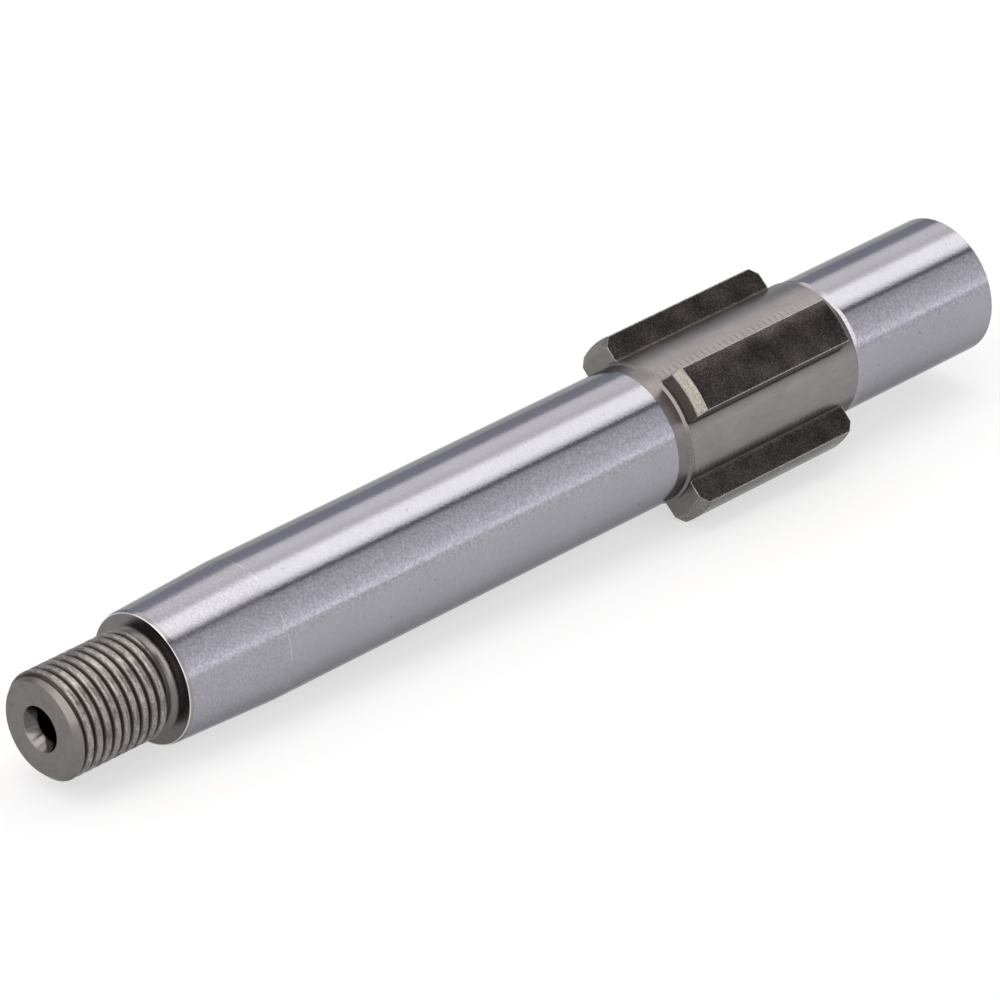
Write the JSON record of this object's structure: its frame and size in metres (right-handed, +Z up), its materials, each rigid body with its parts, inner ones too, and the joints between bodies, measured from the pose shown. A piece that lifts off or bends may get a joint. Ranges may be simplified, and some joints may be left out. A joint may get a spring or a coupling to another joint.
{
  "type": "gearbox main shaft",
  "caption": "Ground steel gearbox shaft with a threaded stub, a short taper, a long journal, a splined hub with parallel-sided lands and a short rear journal.",
  "frame": {"origin": "on the shaft's axis at the large end of the taper, where the front journal begins", "axes": "+X along the shaft's axis from the threaded end to the rear end, +Z up with the shaft lying on two of its lands"},
  "size_m": [0.136, 0.019, 0.019],
  "materials": {
    "steel": "ground on the journals and the taper, turned and hardened elsewhere"
  },
  "bodies": {
    "root": {"main_shaft": "steel"}
  },
  "joints": []
}
